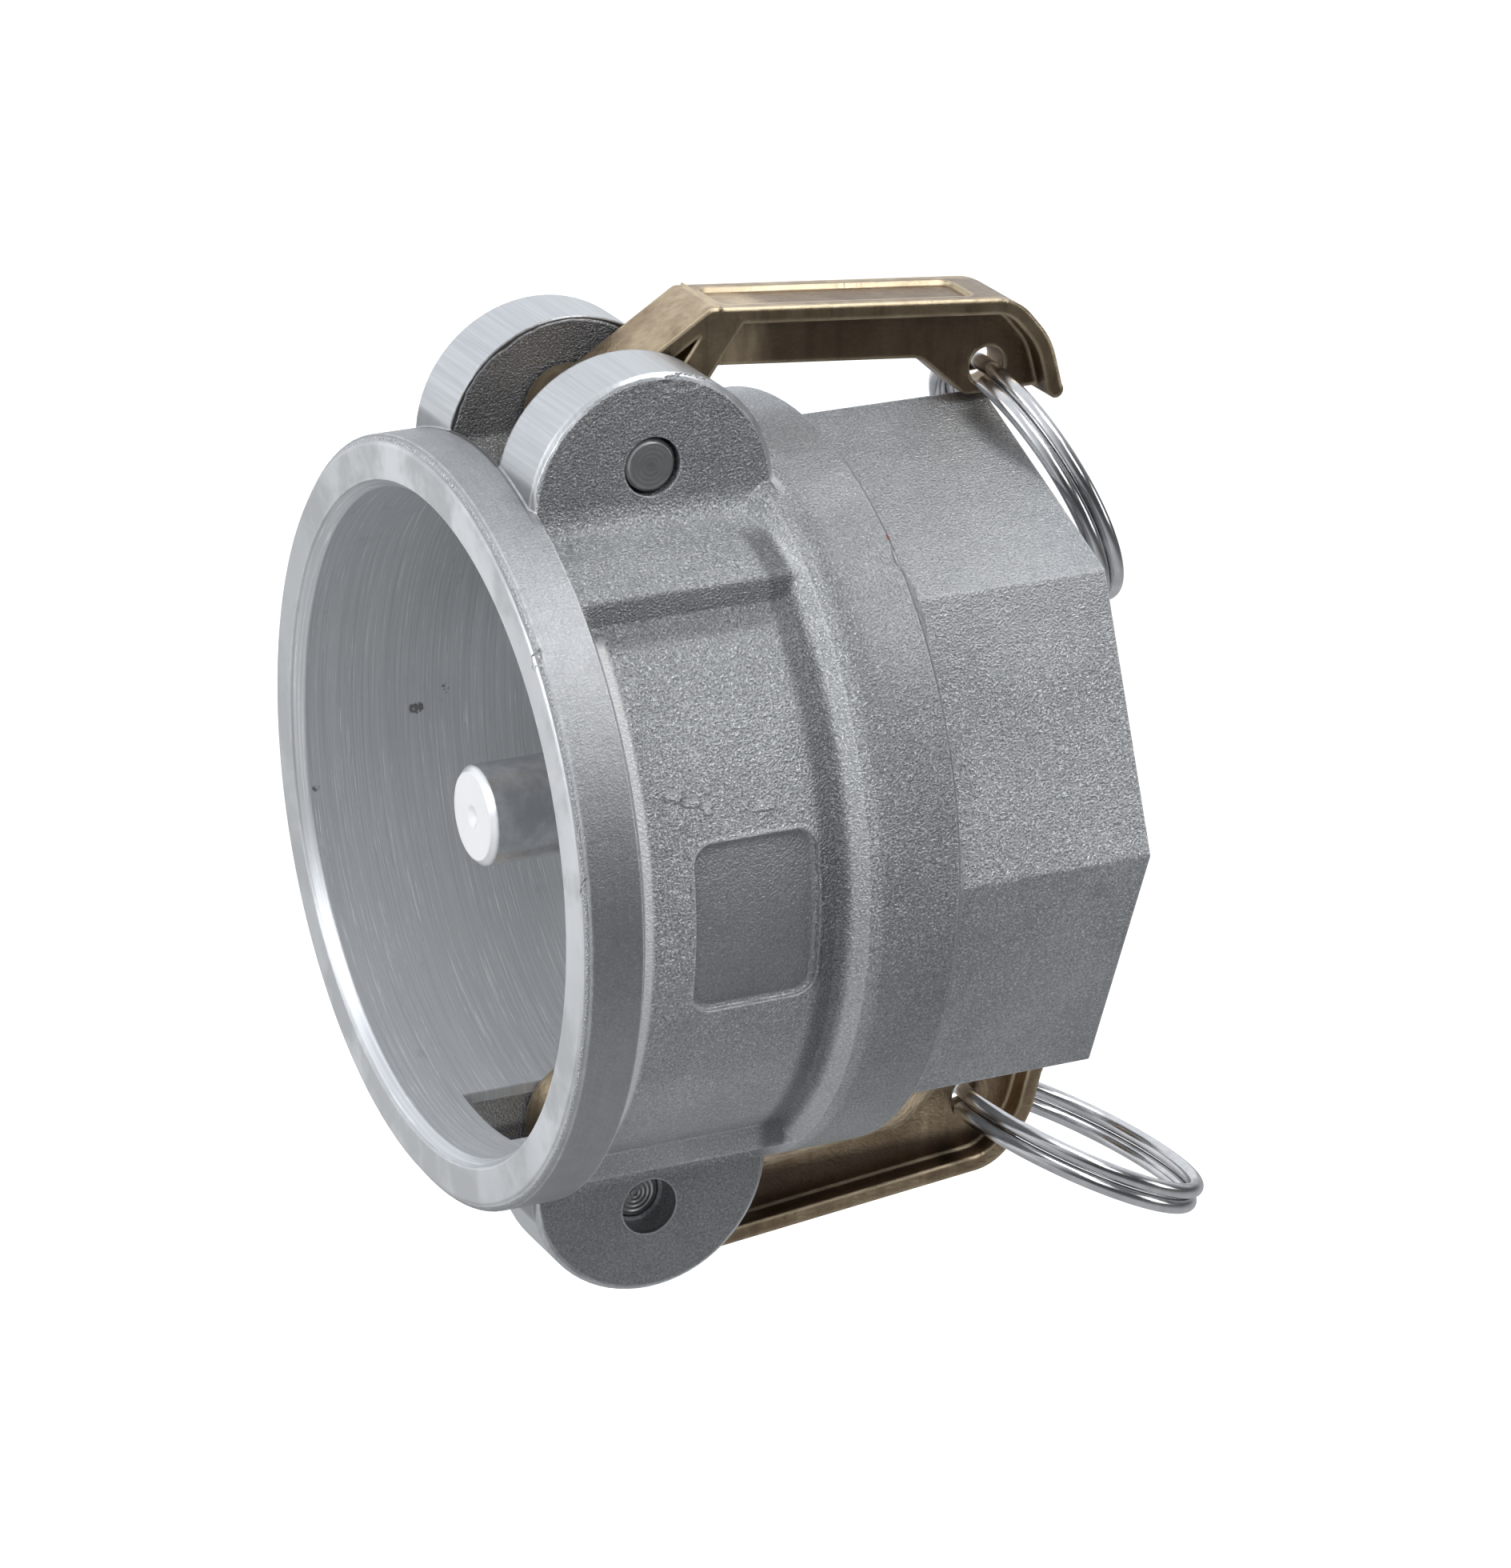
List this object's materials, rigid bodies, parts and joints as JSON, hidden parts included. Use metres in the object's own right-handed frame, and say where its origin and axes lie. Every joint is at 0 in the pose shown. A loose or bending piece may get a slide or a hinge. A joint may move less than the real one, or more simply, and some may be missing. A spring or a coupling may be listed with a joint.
{
  "type": "cam and groove coupler with fixed probe",
  "caption": "Aluminium cam and groove coupler: a round socket with opposed cam handles and pull rings, a central probe on the bore axis, and a female pipe thread in an octagonal end.",
  "frame": {"origin": "on the bore axis, in the plane of the pivot pins, which lies 25.24 mm behind the mouth face", "axes": "+X along the bore axis from the mouth towards the pipe end, +Z towards the top handle, +Y towards the side without the sunk panel"},
  "size_m": [0.1197, 0.107, 0.1456],
  "materials": {
    "cast_aluminium": "cast, satin",
    "gasket_rubber": "matt",
    "probe_aluminium": "turned",
    "zinc_steel": "zinc plated",
    "handle_bronze": "aged, worn on the edges",
    "pin_steel": "dark, turned ends",
    "ring_steel": "bright"
  },
  "bodies": {
    "body": {"coupler_body": "cast_aluminium", "gasket": "gasket_rubber", "probe_rod": "probe_aluminium", "probe_screw": "zinc_steel", "probe_lock_washer": "zinc_steel", "pivot_pin_top": "pin_steel", "pivot_pin_bottom": "pin_steel"},
    "top_handle": {"cam_handle_top": "handle_bronze"},
    "bottom_handle": {"cam_handle_bottom": "handle_bronze"},
    "top_ring": {"pull_ring_top": "ring_steel"},
    "bottom_ring": {"pull_ring_bottom": "ring_steel"}
  },
  "joints": [
    {"name": "cam_handle_top_hinge", "type": "hinge", "parent": "body", "child": "top_handle", "pos_m": [0, 0, 0.05388], "axis": [0, -1, 0], "range_deg": [0, 110]},
    {"name": "cam_handle_bottom_hinge", "type": "hinge", "parent": "body", "child": "bottom_handle", "pos_m": [0, 0, -0.05388], "axis": [0, 1, 0], "range_deg": [0, 110]},
    {"name": "pull_ring_top_hinge", "type": "hinge", "parent": "top_handle", "child": "top_ring", "pos_m": [0.05896, 0, 0.0551], "axis": [0, -1, 0], "range_deg": [0, 215]},
    {"name": "pull_ring_bottom_hinge", "type": "hinge", "parent": "bottom_handle", "child": "bottom_ring", "pos_m": [0.05896, 0, -0.0551], "axis": [0, 1, 0], "range_deg": [-95, 117]}
  ]
}
